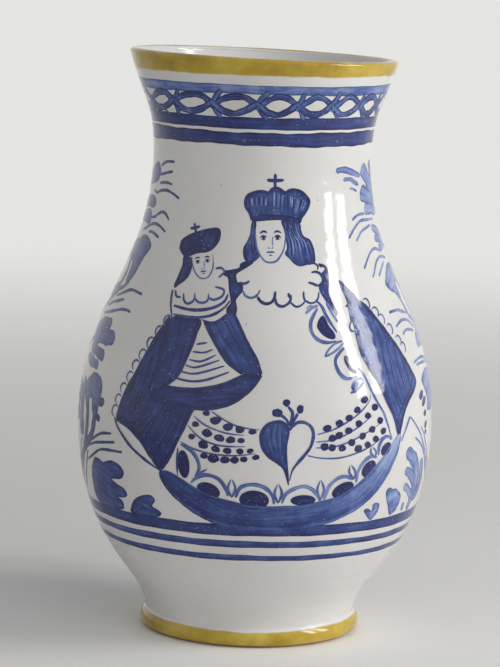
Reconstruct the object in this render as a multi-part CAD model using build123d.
"""Wide-mouthed tin-glazed vase: clay sections luted one on another, under four coats of glaze.

Millimetres, +Z up. The origin is in the middle of the ring that the vase stands on, and the
painted front faces -Y. Radii and heights of the outline are those of the finished glaze.
"""
import math
import os

from build123d import *

# Widest girth, and how far the foot's rest and the neck draw in from it
belly_radius = 76.7
foot_draw_in = 31.2
neck_draw_in = 30.0

# Foot: a rounded bead that is hollow underneath
rest_width = 10.5
rest_softening = 1.5
bead_overhang = 2.0
bead_bulge_height = 4.0
foot_height = 8.2
foot_waist_draw_in = 0.3

# Outline above the foot: how far each station stands out from its neighbour, and its rise
skirt_flare = 7.4
skirt_rise = 14.8
haunch_draw_in = 11.2
haunch_rise = 19.0
belly_rise = 46.0
shoulder_draw_in = 4.4
shoulder_rise = 34.0
neck_root_flare = 7.6
neck_root_rise = 43.0
neck_rise = 38.0
flare = 3.8
flare_rise = 27.0
lip_flare = 10.8
lip_rise = 18.5

# Wall and floor: the inside leaves the flat of the floor in one sweep
wall = 5.0
floor_thickness = 7.0
floor_heel = 10.0
floor_seat_margin = 5.0

# Lip: the wall thins towards it, and it is trimmed on a slope, then rounded
thinned_part = 0.2
lip_thinning = 2.0
rim_fall = 3.0
lip_round = 1.0
trim_allowance = 6.0

# Glaze coats
glaze = 0.45
foot_bare_height = 1.2
lip_coat_depth = 9.0

# Luted seams fall outward on a bevel, so that each section centres the next
seam_bevel = 25.0

# Sizes that follow from the ones above
rest_outer_radius = belly_radius - foot_draw_in
rest_inner_radius = rest_outer_radius - rest_width
bead_radius = rest_outer_radius + bead_overhang
foot_waist_radius = rest_outer_radius - foot_waist_draw_in
skirt_radius = foot_waist_radius + skirt_flare
haunch_radius = belly_radius - haunch_draw_in
shoulder_radius = belly_radius - shoulder_draw_in
neck_radius = belly_radius - neck_draw_in
neck_root_radius = neck_radius + neck_root_flare
flare_radius = neck_radius + flare
lip_radius = neck_radius + lip_flare
floor_flat_radius = rest_inner_radius - floor_heel
floor_disc_radius = floor_flat_radius - floor_seat_margin
skirt_height = foot_height + skirt_rise
haunch_height = skirt_height + haunch_rise
belly_height = haunch_height + belly_rise
shoulder_height = belly_height + shoulder_rise
neck_root_height = shoulder_height + neck_root_rise
neck_height = neck_root_height + neck_rise
flare_height = neck_height + flare_rise
crest_height = flare_height + lip_rise
full_wall = wall + 2 * glaze
floor_top = foot_height + floor_thickness
rim_slope = math.degrees(math.atan2(rim_fall, 2 * lip_radius))
beyond = 2 * (crest_height + belly_radius)


def moved(curve, distance, skip=0, thinning=0.0):
    """Points along a curve, each moved square to it: to its left for a positive distance.

    The move loses the thinning, more and more, over the last part of the curve.
    """
    steps = 18
    points = []
    for step in range(skip, steps + 1):
        part = step / steps
        along = curve % part
        near_end = max(0.0, 1 - (1 - part) / thinned_part)
        points.append(curve @ part + (distance - thinning * near_end**2) * Vector(-along.Y, along.X))
    return points


def turn(section):
    """A solid turned on the wheel from a half section drawn as (radius, height)."""
    return revolve(Plane.XZ * section, axis=Axis.Z)


def under(height, radius=0.0, fall=0.0):
    """The half section's region under a seam that passes height at radius and falls outward."""
    drop = math.tan(math.radians(fall))
    return make_face(Polyline(
        (0, -beyond),
        (beyond, -beyond),
        (beyond, height - drop * (beyond - radius)),
        (0, height + drop * radius),
        close=True,
    ))


def pot_section(coats_off):
    """The pot above its foot as a half section, with or without its glaze, its rim not yet trimmed."""
    outer = moved(outline, coats_off)
    inner = moved(lining, -coats_off)
    outer.append(outer[-1] + trim_allowance * (outline % 1))
    inner.append(inner[-1] + trim_allowance * (lining % 1))
    outer_base = outer[0] - trim_allowance * (outline % 0)
    return make_face([
        Polyline((0, inner[0].Y), (0, outer_base.Y), outer_base, outer[0]),
        Spline(*outer, tangents=[outline % 0, outline % 1], tangent_scalars=[1, 1]),
        Line(outer[-1], inner[-1]),
        Spline(*inner, tangents=[lining % 0, lining % 1], tangent_scalars=[1, 1]),
        Line(inner[0], (0, inner[0].Y)),
    ]) - under(foot_height)


def trimmed(lip, coats_off):
    """A turned lip cut off along the sloping rim, with both of its edges rounded over."""
    rim = Plane.XY.offset(crest_height).rotated((0, rim_slope, 0)).offset(-coats_off)
    lip = split(lip, bisect_by=rim, keep=Keep.BOTTOM)
    rim_face = lip.faces().filter_by(GeomType.PLANE).sort_by(Axis.Z)[-1]
    return fillet(rim_face.edges(), lip_round + glaze - coats_off)


# Finished surfaces outside and inside
outline = Spline(
    (foot_waist_radius, foot_height),
    (skirt_radius, skirt_height),
    (haunch_radius, haunch_height),
    (belly_radius, belly_height),
    (shoulder_radius, shoulder_height),
    (neck_root_radius, neck_root_height),
    (neck_radius, neck_height),
    (flare_radius, flare_height),
    (lip_radius, crest_height),
    tangents=[(0.1, 1), (0.2, 1)],
)
inside = moved(outline, full_wall, skip=5, thinning=lip_thinning)
lining = Spline(
    (floor_flat_radius, floor_top),
    *inside,
    tangents=[(1, 0), (inside[-1] - inside[-2]).normalized()],
    tangent_scalars=[1, 1],
)

# Seams: the floor drops into a bevelled seat, and each ring of the wall sits on the one below
disc_seat = math.tan(math.radians(seam_bevel)) * floor_thickness
floor_plug = make_face(Polyline(
    (0, foot_height),
    (floor_disc_radius, foot_height),
    (floor_disc_radius + disc_seat, floor_top),
    (0, floor_top),
    close=True,
))
girth_seam = under(belly_height, belly_radius, seam_bevel)
neck_seam = under(neck_height, neck_radius, seam_bevel)
lip_seam = under(crest_height - lip_coat_depth, lip_radius, seam_bevel)

# Foot: the bead's clay lies one coat inside the finished arc
foot_arc = ThreePointArc(
    (rest_outer_radius, 0),
    (bead_radius, bead_bulge_height),
    (foot_waist_radius, foot_height),
)
bead = Pos(foot_arc.arc_center.X, foot_arc.arc_center.Y)
outside_bead_centre = Pos(foot_arc.arc_center.X + beyond / 2, 0) * Rectangle(beyond, 2 * beyond)
foot_zone = under(foot_height) - under(0)
ring_core = make_face(Polyline(
    (rest_inner_radius, 0),
    (foot_arc.arc_center.X, 0),
    (foot_arc.arc_center.X, foot_height),
    (rest_inner_radius, foot_height),
    close=True,
))
ring_core = fillet(ring_core.vertices().sort_by(Axis.Y)[:2].sort_by(Axis.X)[:1], rest_softening)
bead_clay = bead * Circle(foot_arc.radius - glaze) & foot_zone & outside_bead_centre
bead_coat = (bead * Circle(foot_arc.radius) - bead * Circle(foot_arc.radius - glaze)) & outside_bead_centre

# Clay sections, and the coats over them
glazed = pot_section(0)
clay = pot_section(glaze)
coats = (glazed - clay) & lip_seam
outer_coat, inner_coat = coats.faces().sort_by(Axis.X, reverse=True)
lip_clay = trimmed(turn(clay - lip_seam), glaze)

nodes = {
    "foot_ring": turn(ring_core + bead_clay),
    "floor_disc": turn(clay & floor_plug),
    "lower_bowl": turn((clay & girth_seam) - floor_plug),
    "shoulder_bell": turn((clay & neck_seam) - girth_seam),
    "neck_collar": turn((clay & lip_seam) - neck_seam),
    "lip_ring": lip_clay,
    "foot_glaze": turn((bead_coat & foot_zone) - under(foot_bare_height)),
    "outer_glaze": turn(outer_coat),
    "inner_glaze": turn(inner_coat),
    "lip_glaze": trimmed(turn(glazed - lip_seam), 0) - lip_clay,
}

os.makedirs("parts", exist_ok=True)
for name, shape in nodes.items():
    export_step(shape, f"parts/{name}.step")
